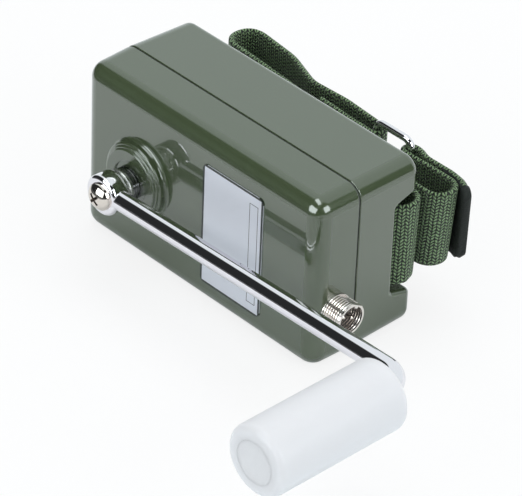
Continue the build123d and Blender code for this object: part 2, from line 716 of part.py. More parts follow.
with BuildPart() as generator_cup:
    disc(*rotor_axis, stator_outer + 1.3, plate_back, cup_back)
    for x, z in ears:
        disc(x, z, 3.0, plate_back, plate_back + 2)
        slab((x + rotor_axis[0]) / 2 + (x - rotor_axis[0]) * 0.35,
             (z + rotor_axis[1]) / 2 + (z - rotor_axis[1]) * 0.35, 5, 5,
             plate_back, plate_back + 2)
    disc(*rotor_axis, stator_outer + seated, plate_back, cup_back - 1.4, mode=Mode.SUBTRACT)
    disc(*rotor_axis, 6.0, cup_back - 3.1, cup_back - 1.4)
    disc(*rotor_axis, 4.5, cup_back - 4, cup_back - 0.6, mode=Mode.SUBTRACT)
    for x, z in ears:
        disc(x, z, 1.3, plate_back, plate_back + 2, mode=Mode.SUBTRACT)
    # window for the phase leads
    slab(rotor_axis[0] - stator_outer, rotor_axis[1], 6, 9, stator_front, cup_back - 1.4,
         mode=Mode.SUBTRACT)
hand_in(generator_cup, "generator_cup")

with BuildPart() as cup_screws:
    for x, z in ears:
        cap_screw(x, z, plate_back + 2, 2.2, 1.6, 1.2, 4.2)
hand_in(cup_screws, "cup_screws")

# ------------------------------------------------------------------- circuit board
board_front = plate_back + 4.0
board_back = board_front + 1.6
board_holes = [(-46, axis_z + 13), (-46, axis_z - 13), (-7, axis_z + 12), (-7, axis_z - 17)]

with BuildPart() as circuit_board:
    slab(-25.5, axis_z, 53, 56.0, board_front, board_back, 1.0)
    for sign in (-1, 1):
        slab(-50, axis_z + sign * 26, 14, 13, board_front, board_back, mode=Mode.SUBTRACT)
    for x, z in board_holes:
        disc(x, z, 1.3, board_front, board_back, mode=Mode.SUBTRACT)
hand_in(circuit_board, "circuit_board")

with BuildPart() as board_standoffs:
    for x, z in board_holes:
        with BuildSketch(facing(board_front)) as hexagon:
            with Locations((x, z)):
                RegularPolygon(2.75, 6)
        extrude(hexagon.sketch, amount=board_front - plate_back)
hand_in(board_standoffs, "board_standoffs")

with BuildPart() as board_screws:
    for x, z in board_holes:
        cap_screw(x, z, board_back, 2.2, 1.6, 1.2, 1.6)
hand_in(board_screws, "board_screws")

with BuildPart() as capacitors:
    for x in (-34, -25, -16):
        disc(x, axis_z + 25.6, 3.5, board_back, board_back + 11)
    fillet(capacitors.faces().sort_by(Axis.Y)[-3:].edges(), 0.6)
hand_in(capacitors, "capacitors")

with BuildPart() as rectifier:
    slab(-14, axis_z - 4, 14, 11, board_back, board_back + 3.6, 0.6)
hand_in(rectifier, "rectifier")

with BuildPart() as boost_transformer:
    slab(-34, axis_z, 16, 12, board_back, board_back + 5.6, 0.8)
    slab(-34, axis_z, 12, 15, board_back + 1.2, board_back + 4.4, 0.8)
hand_in(boost_transformer, "boost_transformer")

terminal_x = -6.0
terminal_z = axis_z + 22.0
with BuildPart() as terminal_block:
    slab(terminal_x, terminal_z, 8, 10.5, board_back, board_back + 6, 0.4)
    for sign in (-1, 1):
        disc(terminal_x, terminal_z + 2.5 * sign, 1.5, board_back + 5, board_back + 7,
             mode=Mode.SUBTRACT)
        disc_x(board_back + 3, terminal_z + 2.5 * sign, 0.9, terminal_x, terminal_x + 6,
               mode=Mode.SUBTRACT)
hand_in(terminal_block, "terminal_block")

# Leads held inside the housing
lead_radius = 0.75
with BuildPart() as output_leads:
    for sign in (-1, 1):
        start = (terminal_x + 0.2, board_back + 3, terminal_z + 2.5 * sign)
        end_y = socket_y + sign * pin_offset[0]
        end_z = socket_z + sign * pin_offset[1]
        column = wire_hole[0] - sign * 1.1
        lane_z = wire_hole[1] + sign * 1.1
        with BuildLine():
            FilletPolyline(
                start,
                (terminal_x + 18, board_back + 3, start[2]),
                (terminal_x + 24, board_back + 3, lane_z),
                (column, board_back + 3, lane_z),
                (column, end_y, lane_z),
                (column, end_y, end_z),
                (48.5, end_y, end_z),
                radius=[4, 4, 4, 4, 2.4],
            )
        with BuildSketch(Plane(origin=start, z_dir=(1, 0, 0))):
            Circle(lead_radius)
        sweep()
hand_in(output_leads, "output_leads")

with BuildPart() as phase_leads:
    for place in (-1, 0, 1):
        lead_z = rotor_axis[1] + 2.6 * place
        start = (rotor_axis[0] - 16.7, stator_back + 0.75, lead_z)
        with BuildLine():
            FilletPolyline(
                start,
                (-2, stator_back + 0.75, lead_z),
                (-2, board_back, lead_z),
                radius=1.4,
            )
        with BuildSketch(Plane(origin=start, z_dir=(-1, 0, 0))):
            Circle(0.6)
        sweep()
hand_in(phase_leads, "phase_leads")

# --------------------------------------------------------------------------- strap
# One length of webbing. From the tail that is sewn round the ring it runs round the
# left loop, folds back, passes through the channel, folds twice at the right, goes
# through the ring and lies back on itself. Centre line, seen from above.
ring_y = back_face + 19.7
ring_left = 17.2
ring_right = 33.6
lap = ring_wire + strap_thickness / 2 + 0.2      # centre line round the ring's wire
channel_run = channel_y + strap_thickness / 2 + 0.2
strap_route = [
    ((-8.0, ring_y - lap + 1.0), None),
    ((8.0, ring_y - lap), 20.0),
    ((ring_left + lap, ring_y - lap), lap - 0.05),
    ((ring_left + lap, ring_y + lap), lap - 0.05),
    ((-2.0, ring_y + lap + 1.6), 30.0),
    ((-17.5, ring_y + lap + 0.7), 14.0),
    ((-33.0, ring_y + lap + 6.4), 24.0),
    ((-56.7, ring_y + lap + 9.0), 5.9),
    ((-56.7, ring_y - 0.9), 5.9),
    ((-38.0, ring_y - 2.0), 30.0),
    ((2.0, ring_y - 5.4), 2.2),
    ((2.0, ring_y - 10.4), 2.2),
    ((-57.5, ring_y - 11.6), 7.6),
    ((-57.5, channel_run), 7.6),
    ((56.4, channel_run), 5.9),
    ((56.4, channel_run + 11.9), 5.9),
    ((6.0, channel_run + 11.9), 1.3),
    ((6.0, channel_run + 14.6), 1.3),
    ((58.6, channel_run + 14.9), 5.4),
    ((58.6, ring_y - 1.9), 5.4),
    ((44.0, ring_y - lap), 20.0),
    ((ring_right - lap, ring_y - lap), lap - 0.05),
    ((ring_right - lap, ring_y + lap), lap - 0.2),
    ((42.0, ring_y + lap - 0.4), 20.0),
    ((56.0, ring_y + 1.9), 12.0),
    ((63.4, ring_y - 1.2), None),
]
strap_points = [point for point, _ in strap_route]
strap_radii = [radius for _, radius in strap_route[1:-1]]

with BuildLine() as strap_line:
    FilletPolyline([(x, y, axis_z) for x, y in strap_points], radius=strap_radii)
strap_wire = strap_line.wire()
strap_heading = strap_wire % 1


def round_off(beyond, wide, radius):
    """Round the two corners of the strap's free end, a little beyond its last point."""
    across = Vector(strap_heading.Y, -strap_heading.X, 0)
    end = strap_wire @ 1 + beyond * strap_heading
    with BuildSketch(Plane(origin=end, x_dir=strap_heading, z_dir=across)) as corners:
        for sign in (-1, 1):
            outward = Align.MIN if sign > 0 else Align.MAX
            with Locations((-radius, sign * (wide / 2 - radius))):
                Rectangle(radius + 1, radius + 1, align=(Align.MIN, outward))
                Circle(radius, mode=Mode.SUBTRACT)
    extrude(corners.sketch, amount=4, both=True, mode=Mode.SUBTRACT)


with BuildPart() as webbing_strap:
    with BuildSketch(Plane(origin=strap_wire @ 0, x_dir=(0, 0, 1), z_dir=strap_wire % 0)):
        Rectangle(strap_width, strap_thickness)
    sweep(path=strap_wire)
    for x, z in clamp_screws:
        disc(x, z, 1.7, channel_y, channel_run + 4, mode=Mode.SUBTRACT)
    round_off(0, strap_width, 3.2)
hand_in(webbing_strap, "webbing_strap")

with BuildPart() as strap_ring:
    ring_high = strap_width + 2 * ring_wire + 2.2
    with BuildLine():
        corner = 3.2
        half = ring_high / 2
        FilletPolyline(
            (ring_left, ring_y, axis_z - half),
            (ring_left, ring_y, axis_z + half),
            (ring_right, ring_y, axis_z + half),
            (ring_right, ring_y, axis_z - half),
            radius=corner,
            close=True,
        )
    with BuildSketch(Plane(origin=(ring_left, ring_y, axis_z), z_dir=(0, 0, 1))):
        Circle(ring_wire)
    sweep()
hand_in(strap_ring, "strap_ring")

# hook tape sewn along the near face of the strap's free end and turned over its edge
tape_length = 15.0
tape_thickness = 0.9
tape_turn = 5.0                  # length turned back on the far face
tape_offset = strap_thickness / 2 + tape_thickness / 2 + 0.01
tape_wide = strap_width - 0.6
tape_wire = strap_wire.trim(1 - tape_length / strap_wire.length, 1)
strap_end = Plane(origin=strap_wire @ 1, x_dir=(0, 0, 1), z_dir=strap_wire % 1)
with BuildPart() as hook_tape:
    with BuildSketch(Plane(origin=tape_wire @ 0, x_dir=(0, 0, 1), z_dir=tape_wire % 0)) as strip:
        with Locations((0, tape_offset)):
            Rectangle(tape_wide, tape_thickness)
    sweep(strip.sketch, path=tape_wire)
    with BuildSketch(strap_end) as last_strip:
        with Locations((0, tape_offset)):
            Rectangle(tape_wide, tape_thickness)
    extrude(last_strip.sketch, amount=0.5)
    with BuildSketch(strap_end.offset(0.01)) as edge_strip:
        Rectangle(tape_wide, 2 * tape_offset + tape_thickness)
    extrude(edge_strip.sketch, amount=tape_thickness)
    with BuildSketch(strap_end.offset(-tape_turn)) as turned:
        with Locations((0, -tape_offset)):
            Rectangle(tape_wide, tape_thickness)
    extrude(turned.sketch, amount=tape_turn + 0.5)
    round_off(tape_thickness, tape_wide, 3.6)
hand_in(hook_tape, "hook_tape")

clamp_front = channel_run + strap_thickness / 2 + 0.05
with BuildPart() as strap_clamp:
    slab(0, axis_z, 22, 31, clamp_front, clamp_front + 1.5, 3.0)
    fillet(strap_clamp.faces().sort_by(Axis.Y)[-1].edges(), 0.5)
    for x, z in clamp_screws:
        disc(x, z, 1.6, clamp_front, clamp_front + 2, mode=Mode.SUBTRACT)
hand_in(strap_clamp, "strap_clamp")

with BuildPart() as clamp_screws_pair:
    for x, z in clamp_screws:
        cap_screw(x, z, clamp_front + 1.5, 2.7, 1.6, 1.5, 5.6)
hand_in(clamp_screws_pair, "clamp_screws")
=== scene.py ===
# %% [markdown]
# # A hand crank generator
# The object is an enamelled cast box with a chrome crank, a white grip, a threaded
# output socket and a folded webbing strap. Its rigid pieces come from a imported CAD
# model, so this lesson is mostly about finishes, light and one soft piece: the strap.
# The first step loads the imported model. Its nodes are already in metres and in place,
# and everything that is added rides on one of its bodies.

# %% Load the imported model
import json
import math

import bpy
from mathutils import Matrix, Vector


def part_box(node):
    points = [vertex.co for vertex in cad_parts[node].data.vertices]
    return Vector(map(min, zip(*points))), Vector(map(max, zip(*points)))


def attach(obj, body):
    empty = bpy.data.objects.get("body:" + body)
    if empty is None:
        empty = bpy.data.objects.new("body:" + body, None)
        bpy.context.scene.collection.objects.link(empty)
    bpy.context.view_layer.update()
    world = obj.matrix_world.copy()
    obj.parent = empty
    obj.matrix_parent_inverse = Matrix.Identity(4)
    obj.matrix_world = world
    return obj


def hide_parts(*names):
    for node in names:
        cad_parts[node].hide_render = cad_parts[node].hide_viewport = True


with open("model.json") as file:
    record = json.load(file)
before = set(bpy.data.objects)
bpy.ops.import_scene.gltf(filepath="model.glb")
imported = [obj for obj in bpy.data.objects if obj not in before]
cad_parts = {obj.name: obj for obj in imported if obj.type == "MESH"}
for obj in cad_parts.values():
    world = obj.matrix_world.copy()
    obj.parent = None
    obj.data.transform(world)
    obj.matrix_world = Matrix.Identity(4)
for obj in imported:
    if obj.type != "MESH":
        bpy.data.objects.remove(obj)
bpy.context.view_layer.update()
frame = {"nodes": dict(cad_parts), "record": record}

cad = frame["nodes"]

# %% [markdown]
# ## The camera
# The photograph was taken with a long lens from the front right and above. A camera is
# best set from three directions that are at right angles: to its right, up and back.
# Writing them down, and not Euler angles, keeps the slight roll of the picture. The lens
# is long, so the box's parallel edges nearly stay parallel.

# %% Set the camera where the photograph was taken
MM = 0.001
CAMERA_PLACE = (0.755545, -0.728248, 0.755335)
LENS = 264.77  # mm, on a sensor that is 36 mm wide
to_right = Vector((0.679619, 0.732766, 0.034233))
to_top = Vector((-0.444004, 0.373756, 0.814351))
to_back = Vector((0.583934, -0.568648, 0.579363))

view_camera = bpy.data.objects.new("view_camera", bpy.data.cameras.new("view_camera"))
bpy.context.scene.collection.objects.link(view_camera)
view_camera.data.sensor_width = 36.0
view_camera.data.lens = LENS
view_camera.data.clip_start = 0.05
view_camera.data.clip_end = 20.0
turned = Matrix((to_right, to_top, to_back)).transposed().to_4x4()
view_camera.matrix_world = Matrix.Translation(CAMERA_PLACE) @ turned
bpy.context.scene.camera = view_camera
bpy.context.scene.view_settings.view_transform = "Standard"
print("camera distance", round(view_camera.location.length, 3), "m")

# %% [markdown]
# ## Small helpers for node trees
# Every finish below is a node tree. A few helpers keep the cells short: one adds a node
# and sets its sockets by name, one does sums, and one starts a material with a Principled
# BSDF. Two more start a node group with its own sockets, and place it in a tree.

# %% Helpers for node trees
def put(tree, kind, inputs=None, **settings):
    """Add a node, set its properties, then fill its input sockets or link them."""
    node = tree.nodes.new(kind)
    for name, value in settings.items():
        setattr(node, name, value)
    for name, value in (inputs or {}).items():
        socket = node.inputs[name]
        if isinstance(value, bpy.types.NodeSocket):
            tree.links.new(value, socket)
        else:
            socket.default_value = value
    return node


def math_node(tree, operation, first, second=0.0):
    """A Math node's output, from sockets or numbers."""
    return put(tree, "ShaderNodeMath", {0: first, 1: second}, operation=operation).outputs[0]


def start_material(name, **shader_inputs):
    """A material with one Principled BSDF, and the tree and shader to work on."""
    material = bpy.data.materials.new(name)
    material.use_nodes = True
    tree = material.node_tree
    tree.nodes.clear()
    shader = put(tree, "ShaderNodeBsdfPrincipled", shader_inputs)
    end = put(tree, "ShaderNodeOutputMaterial")
    tree.links.new(shader.outputs[0], end.inputs["Surface"])
    return material, tree, shader


print("tree helpers ready")

# %% Helpers for node groups
def start_group(name, inputs, outputs):
    """A shader node group with named float, vector and colour sockets."""
    group = bpy.data.node_groups.new(name, "ShaderNodeTree")
    kinds = {"float": "NodeSocketFloat", "vector": "NodeSocketVector",
             "colour": "NodeSocketColor"}
    for label, kind, value in inputs:
        socket = group.interface.new_socket(label, in_out="INPUT", socket_type=kinds[kind])
        socket.default_value = value
    for label, kind in outputs:
        group.interface.new_socket(label, in_out="OUTPUT", socket_type=kinds[kind])
    return group, put(group, "NodeGroupInput"), put(group, "NodeGroupOutput")


def use_group(tree, group, inputs):
    """Place a node group in a material's tree."""
    node = put(tree, "ShaderNodeGroup", node_tree=group)
    for name, value in inputs.items():
        if isinstance(value, bpy.types.NodeSocket):
            tree.links.new(value, node.inputs[name])
        else:
            node.inputs[name].default_value = value
    return node


print("group helpers ready")

# %% [markdown]
# ## A group for fine surface grain
# Nothing real is perfectly even. Paint has a faint ripple, turned steel has fine scratches
# and moulded plastic has a soft grain. All three are noise at different scales, so one
# group serves them. It gives a height for a Bump node, a shade that varies the colour a
# little, and a smudge that varies the roughness.

# %% Group: surface grain
surface_grain, entry, leave = start_group(
    "surface grain",
    [("Scale", "float", 600.0), ("Stretch", "vector", (1.0, 1.0, 1.0)),
     ("Colour", "colour", (0.5, 0.5, 0.5, 1.0)), ("Variation", "float", 0.08),
     ("Roughness", "float", 0.3), ("Smudge", "float", 0.05)],
    [("Colour", "colour"), ("Roughness", "float"), ("Height", "float")],
)
place = put(surface_grain, "ShaderNodeTexCoord").outputs["Object"]
stretched = put(surface_grain, "ShaderNodeVectorMath",
                {0: place, 1: entry.outputs["Stretch"]}, operation="MULTIPLY").outputs[0]
fine = put(surface_grain, "ShaderNodeTexNoise",
           {"Vector": stretched, "Scale": entry.outputs["Scale"], "Detail": 4.0,
            "Roughness": 0.55}).outputs[0]
broad = put(surface_grain, "ShaderNodeTexNoise",
            {"Vector": place, "Scale": 45.0, "Detail": 3.0, "Roughness": 0.6}).outputs[0]
even = math_node(surface_grain, "SUBTRACT", broad, 0.5)
lift = math_node(surface_grain, "MULTIPLY", even, entry.outputs["Variation"])
gain = math_node(surface_grain, "ADD", math_node(surface_grain, "MULTIPLY", lift, 2.0), 1.0)
tinted = put(surface_grain, "ShaderNodeVectorMath",
             {0: entry.outputs["Colour"], 1: gain}, operation="MULTIPLY").outputs[0]
rubbed = math_node(surface_grain, "MULTIPLY", even, entry.outputs["Smudge"])
surface_grain.links.new(tinted, leave.inputs["Colour"])
surface_grain.links.new(
    math_node(surface_grain, "ADD", entry.outputs["Roughness"], rubbed),
    leave.inputs["Roughness"])
surface_grain.links.new(fine, leave.inputs["Height"])
print("group", surface_grain.name, "nodes", len(surface_grain.nodes))

# %% [markdown]
# ## A group for ridges
# Wound wire, stacked sheet and a lathe's marks are all ridges of one pitch along one
# direction. The group takes the direction and the pitch, and gives a height.

# %% Group: ridges
ridges, entry, leave = start_group(
    "ridges",
    [("Direction", "vector", (0.0, 1.0, 0.0)), ("Pitch", "float", 0.0005)],
    [("Height", "float")],
)
place = put(ridges, "ShaderNodeTexCoord").outputs["Object"]
reach = put(ridges, "ShaderNodeVectorMath",
            {0: place, 1: entry.outputs["Direction"]}, operation="DOT_PRODUCT").outputs["Value"]
turns = math_node(ridges, "DIVIDE", reach, entry.outputs["Pitch"])
wave = math_node(ridges, "SINE", math_node(ridges, "MULTIPLY", turns, 2 * math.pi))
ridges.links.new(math_node(ridges, "MULTIPLY_ADD", wave, 0.5), leave.inputs["Height"])
print("group", ridges.name, "nodes", len(ridges.nodes))

# %% [markdown]
# ## Plain finishes
# Most nodes need a metal, a plastic or a rubber. These differ in colour, roughness and
# grain, so they are rows of one table. A number that is the same all over goes straight
# on the shader, and the group feeds only what changes over the surface.

# %% Plain finishes, one row each
def plain_finish(name, colour, roughness, metallic=0.0, grain=600.0, bump=0.05,
                 variation=0.08, smudge=0.06, stretch=(1.0, 1.0, 1.0), ridge=None,
                 **shader_inputs):
    """A material whose colour, roughness and bump come from the surface grain group."""
    material, tree, shader = start_material(name, Metallic=metallic, **shader_inputs)
    grained = use_group(tree, surface_grain, {
        "Scale": grain, "Stretch": stretch, "Colour": (*colour, 1.0),
        "Variation": variation, "Roughness": roughness, "Smudge": smudge})
    tree.links.new(grained.outputs["Colour"], shader.inputs["Base Color"])
    tree.links.new(grained.outputs["Roughness"], shader.inputs["Roughness"])
    height = grained.outputs["Height"]
    if ridge:
        direction, pitch = ridge
        wound = use_group(tree, ridges, {"Direction": direction, "Pitch": pitch})
        height = wound.outputs["Height"]
    relief = put(tree, "ShaderNodeBump",
                 {"Height": height, "Strength": bump, "Distance": 0.0003})
    tree.links.new(relief.outputs[0], shader.inputs["Normal"])
    return material


finishes = {
    "rubber_black": plain_finish("rubber_black", (0.022, 0.027, 0.022), 0.45, grain=900),
    "chrome": plain_finish("chrome", (0.84, 0.81, 0.84), 0.045, 1.0, grain=250, bump=0.006,
                           variation=0.02, smudge=0.03),
    "steel": plain_finish("steel", (0.46, 0.46, 0.47), 0.17, 1.0, grain=500, bump=0.04,
                          stretch=(1.0, 6.0, 1.0), smudge=0.12),
    "nickel": plain_finish("nickel", (0.74, 0.67, 0.61), 0.10, 1.0, grain=400, bump=0.02,
                           smudge=0.06),
    "threaded_nickel": plain_finish("threaded_nickel", (0.78, 0.72, 0.68), 0.20, 1.0,
                                    bump=0.55, smudge=0.1, ridge=((1.0, 0.0, 0.0), 0.001)),
    "zinc": plain_finish("zinc", (0.60, 0.60, 0.58), 0.26, 1.0, grain=700, bump=0.05,
                         smudge=0.14),
    "black_oxide": plain_finish("black_oxide", (0.035, 0.035, 0.04), 0.35, 0.7, bump=0.05),
    "alu": plain_finish("alu", (0.58, 0.58, 0.59), 0.34, 1.0, grain=300,
                        stretch=(1.0, 1.0, 8.0), bump=0.06, smudge=0.1),
    "black_plastic": plain_finish("black_plastic", (0.018, 0.018, 0.02), 0.42, grain=1200),
    "brass": plain_finish("brass", (0.68, 0.47, 0.20), 0.22, 1.0, smudge=0.1),
    "bronze": plain_finish("bronze", (0.50, 0.33, 0.17), 0.38, 1.0, grain=1500, bump=0.15),
    "acetal": plain_finish("acetal", (0.72, 0.71, 0.66), 0.38, variation=0.03),
    "copper": plain_finish("copper", (0.62, 0.24, 0.10), 0.3, 0.6, bump=0.6,
                           ridge=((0.7, 0.0, 0.7), 0.00055)),
    "lamination": plain_finish("lamination", (0.20, 0.20, 0.21), 0.4, 0.9, bump=0.5,
                               ridge=((0.0, 1.0, 0.0), 0.0005)),
    "magnet": plain_finish("magnet", (0.09, 0.09, 0.10), 0.5, 0.3, grain=1500, bump=0.1),
    "board": plain_finish("board", (0.02, 0.13, 0.05), 0.3, grain=800, bump=0.08),
    "red_lead": plain_finish("red_lead", (0.45, 0.025, 0.02), 0.35, variation=0.04),
    "green_plastic": plain_finish("green_plastic", (0.03, 0.24, 0.09), 0.4, variation=0.05),
}
print("plain finishes", len(finishes))

# %% [markdown]
# ## Enamel
# The castings are sprayed a dark olive green and stoved until they are glossy. Two layers
# do that here: a coloured base, and a clear coat with a sharp highlight. The faint ripple
# of sprayed paint, called orange peel, bends the reflections slightly.

# %% Glossy enamel
enamel, tree, shader = start_material(
    "enamel", **{"Specular IOR Level": 0.5, "Coat Weight": 1.0, "Coat Roughness": 0.02,
                 "Coat IOR": 1.6})
sprayed = use_group(tree, surface_grain, {
    "Scale": 330.0, "Colour": (0.052, 0.074, 0.037, 1.0), "Variation": 0.05,
    "Roughness": 0.22, "Smudge": 0.05})
tree.links.new(sprayed.outputs["Colour"], shader.inputs["Base Color"])
tree.links.new(sprayed.outputs["Roughness"], shader.inputs["Roughness"])
peel = put(tree, "ShaderNodeBump",
           {"Height": sprayed.outputs["Height"], "Strength": 0.012, "Distance": 0.0003})
tree.links.new(peel.outputs[0], shader.inputs["Normal"])
finishes["enamel"] = enamel
print("enamel nodes", len(tree.nodes))

# %% [markdown]
# ## The grip's plastic
# The grip is a thick tube of milky white plastic. Light goes a little way into it, so its
# shaded side stays pale. Subsurface scattering gives that softness.

# %% Milky plastic for the grip
milky, tree, shader = start_material(
    "white_plastic", **{"Subsurface Weight": 0.35, "Subsurface Scale": 0.006,
                        "Subsurface Radius": (1.0, 1.0, 1.0)})
moulded = use_group(tree, surface_grain, {
    "Scale": 1400.0, "Colour": (0.73, 0.75, 0.78, 1.0), "Variation": 0.012,
    "Roughness": 0.42, "Smudge": 0.06})
tree.links.new(moulded.outputs["Colour"], shader.inputs["Base Color"])
tree.links.new(moulded.outputs["Roughness"], shader.inputs["Roughness"])
soft_grain = put(tree, "ShaderNodeBump",
                 {"Height": moulded.outputs["Height"], "Strength": 0.05, "Distance": 0.0002})
tree.links.new(soft_grain.outputs[0], shader.inputs["Normal"])
finishes["white_plastic"] = milky
print("grip finish", milky.name)

# %% [markdown]
# ## The rating plate
# A thin aluminium plate is printed with a dark border and one long ruled box, and the rest
# of it stays blank. The print is drawn from the distance to each ruled line, measured in
# the plate's own millimetres, so it needs no picture.

# %% Group: a ruled box
ruled_box, entry, leave = start_group(
    "ruled box",
    [("Across", "float", 0.0), ("Up", "float", 0.0), ("Half width", "float", 5.0),
     ("Half height", "float", 5.0), ("Line", "float", 0.3)],
    [("Ink", "float")],
)
side = math_node(ruled_box, "SUBTRACT",
                 math_node(ruled_box, "ABSOLUTE", entry.outputs["Across"]),
                 entry.outputs["Half width"])
top = math_node(ruled_box, "SUBTRACT",
                math_node(ruled_box, "ABSOLUTE", entry.outputs["Up"]),
                entry.outputs["Half height"])
away = math_node(ruled_box, "ABSOLUTE", math_node(ruled_box, "MAXIMUM", side, top))
ruled_box.links.new(
    math_node(ruled_box, "LESS_THAN", away,
              math_node(ruled_box, "MULTIPLY", entry.outputs["Line"], 0.5)),
    leave.inputs["Ink"])
print("group", ruled_box.name, "nodes", len(ruled_box.nodes))

# %% Printed aluminium for the rating plate
BORDER = 0.8  # mm, the line printed round the plate's edge
INK = (0.025, 0.03, 0.03, 1.0)
plate_low, plate_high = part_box("rating_plate")
plate_middle = [(a + b) / 2 for a, b in zip(plate_low, plate_high)]
plate_half = [(b - a) / 2 / MM for a, b in zip(plate_low, plate_high)]

plate_print, tree, shader = start_material("plate_silver", Metallic=0.2)
brushed = use_group(tree, surface_grain, {
    "Scale": 260.0, "Stretch": (1.0, 1.0, 14.0), "Colour": (0.645, 0.675, 0.74, 1.0),
    "Variation": 0.03, "Roughness": 0.32, "Smudge": 0.08})
place = put(tree, "ShaderNodeTexCoord").outputs["Object"]
parts = put(tree, "ShaderNodeSeparateXYZ", {0: place})


def plate_mm(axis, middle):
    """Distance along the plate from a point of it, in millimetres."""
    index = "XYZ".index(axis)
    shifted = math_node(tree, "SUBTRACT", parts.outputs[axis],
                        plate_middle[index] + middle * MM)
    return math_node(tree, "MULTIPLY", shifted, 1000.0)


boxes = [  # middle across, middle up, half width, half height, line width
    (0.0, 0.0, plate_half[0] - BORDER / 2, plate_half[2] - BORDER / 2, BORDER),
    (plate_half[0] - 4.2, 0.0, 1.9, plate_half[2] - 4.0, 0.25),
]
ink = None
for across, up, half_width, half_height, line in boxes:
    one = use_group(tree, ruled_box, {
        "Across": plate_mm("X", across), "Up": plate_mm("Z", up),
        "Half width": half_width, "Half height": half_height, "Line": line}).outputs["Ink"]
    ink = one if ink is None else math_node(tree, "MAXIMUM", ink, one)
printed = put(tree, "ShaderNodeMix", {0: ink, 6: brushed.outputs["Colour"], 7: INK},
              data_type="RGBA")
tree.links.new(printed.outputs[2], shader.inputs["Base Color"])
tree.links.new(brushed.outputs["Roughness"], shader.inputs["Roughness"])
finishes["plate_silver"] = plate_print
print("plate", [round(2 * half, 1) for half in plate_half], "mm")

# %% [markdown]
# ## The strap's weave
# Each column of the webbing is a stack of small V shapes, like knitting. The columns lie
# across the strap, 2.3 mm apart, and the V shapes are 1.35 mm apart. The strap's UV map is
# in millimetres, along and across, so the group can work out where each yarn lies. The
# yarn stands up between its own two gaps, and its height also sets painted light: painted
# shade, near black, in the gaps and a painted highlight on the crests.

# %% Group: herringbone webbing
weave, entry, leave = start_group(
    "herringbone weave",
    [("Column", "float", 2.3), ("Pitch", "float", 1.35), ("Rise", "float", 1.1)],
    [("Height", "float"), ("Painted light", "float"), ("Fibre", "float")],
)
millimetres = put(weave, "ShaderNodeUVMap", uv_map="strap_mm").outputs[0]
uneven = put(weave, "ShaderNodeTexNoise",
             {"Vector": millimetres, "Scale": 0.9, "Detail": 2.0}, noise_dimensions="2D")
wobble = put(weave, "ShaderNodeVectorMath", {0: uneven.outputs[1], 1: (0.55, 0.55, 0.0)},
             operation="MULTIPLY").outputs[0]
shifted = put(weave, "ShaderNodeVectorMath", {0: millimetres, 1: wobble},
              operation="ADD").outputs[0]
uv = put(weave, "ShaderNodeSeparateXYZ", {0: shifted})
column = math_node(weave, "FRACT",
                   math_node(weave, "DIVIDE", uv.outputs["X"], entry.outputs["Column"]))
arm = math_node(weave, "MULTIPLY",
                math_node(weave, "ABSOLUTE", math_node(weave, "SUBTRACT", column, 0.5)), 2.0)
climb = math_node(weave, "MULTIPLY", arm, entry.outputs["Rise"])
stack = math_node(weave, "DIVIDE",
                  math_node(weave, "SUBTRACT", uv.outputs["Y"], climb),
                  entry.outputs["Pitch"])
across_yarn = math_node(weave, "ABSOLUTE",
                        math_node(weave, "SINE", math_node(weave, "MULTIPLY", stack, math.pi)))
yarn = math_node(weave, "POWER", across_yarn, 0.9)
# each arm of a V is one yarn that dives at both of its ends
along_arm = math_node(weave, "SINE", math_node(weave, "MULTIPLY", arm, math.pi))
hump = math_node(weave, "POWER", math_node(weave, "ABSOLUTE", along_arm), 0.6)
height = math_node(weave, "MULTIPLY", yarn,
                   math_node(weave, "ADD", math_node(weave, "MULTIPLY", hump, 0.85), 0.15))
fibres = put(weave, "ShaderNodeTexNoise",
             {"Vector": millimetres, "Scale": 6.0, "Detail": 3.0, "Roughness": 0.7},
             noise_dimensions="2D").outputs[0]
weave.links.new(math_node(weave, "ADD", height, math_node(weave, "MULTIPLY", fibres, 0.25)),
                leave.inputs["Height"])
# the mask of painted light: 0 gives painted shade in the gaps, 1 a painted highlight on the
# crests
weave.links.new(put(weave, "ShaderNodeMapRange",
                    {"Value": height, "From Min": 0.38, "From Max": 0.78}).outputs[0],
                leave.inputs["Painted light"])
weave.links.new(fibres, leave.inputs["Fibre"])
print("group", weave.name, "nodes", len(weave.nodes))

# %% Webbing material
# near-black painted shade for the gaps, and the yarn's green lifted to a painted highlight for
# the crests
PAINTED_GAP_SHADE = (0.002, 0.006, 0.003, 1.0)
YARN_GREEN_AND_PAINTED_HIGHLIGHT = (0.27, 0.385, 0.225, 1.0)
FADED_GREEN = (0.28, 0.37, 0.25, 1.0)
webbing, tree, shader = start_material(
    "webbing", **{"Sheen Weight": 0.08, "Sheen Roughness": 0.4,
                  "Specular IOR Level": 0.35})
woven = use_group(tree, weave, {})
# the yarn's colour by height: painted shade in the gaps, painted highlight on the crests
shade = put(tree, "ShaderNodeMix", {0: woven.outputs["Painted light"], 6: PAINTED_GAP_SHADE, 7: YARN_GREEN_AND_PAINTED_HIGHLIGHT},
            data_type="RGBA")
faded = put(tree, "ShaderNodeMix", {0: woven.outputs["Fibre"], 6: shade.outputs[2],
                                    7: FADED_GREEN},
            data_type="RGBA", blend_type="SOFT_LIGHT")
rough = put(tree, "ShaderNodeMapRange", {"Value": woven.outputs["Fibre"], "To Min": 0.38,
                                         "To Max": 0.62})
tree.links.new(faded.outputs[2], shader.inputs["Base Color"])
tree.links.new(rough.outputs[0], shader.inputs["Roughness"])
relief = put(tree, "ShaderNodeBump",
             {"Height": woven.outputs["Height"], "Strength": 1.0, "Distance": 0.0007})
tree.links.new(relief.outputs[0], shader.inputs["Normal"])
finishes["webbing"] = webbing
print("webbing nodes", len(tree.nodes))

# %% [markdown]
# ## Dressing the CAD nodes
# The record names a material slot for each node, so the finishes go on by that table and
# nothing is matched by hand. Four nodes then get a closer finish than their slot's: the
# socket, its pins and the crank's screw are nickel, which is warmer than the crank's
# chrome, and the shaft's seal was sprayed over with the housing.

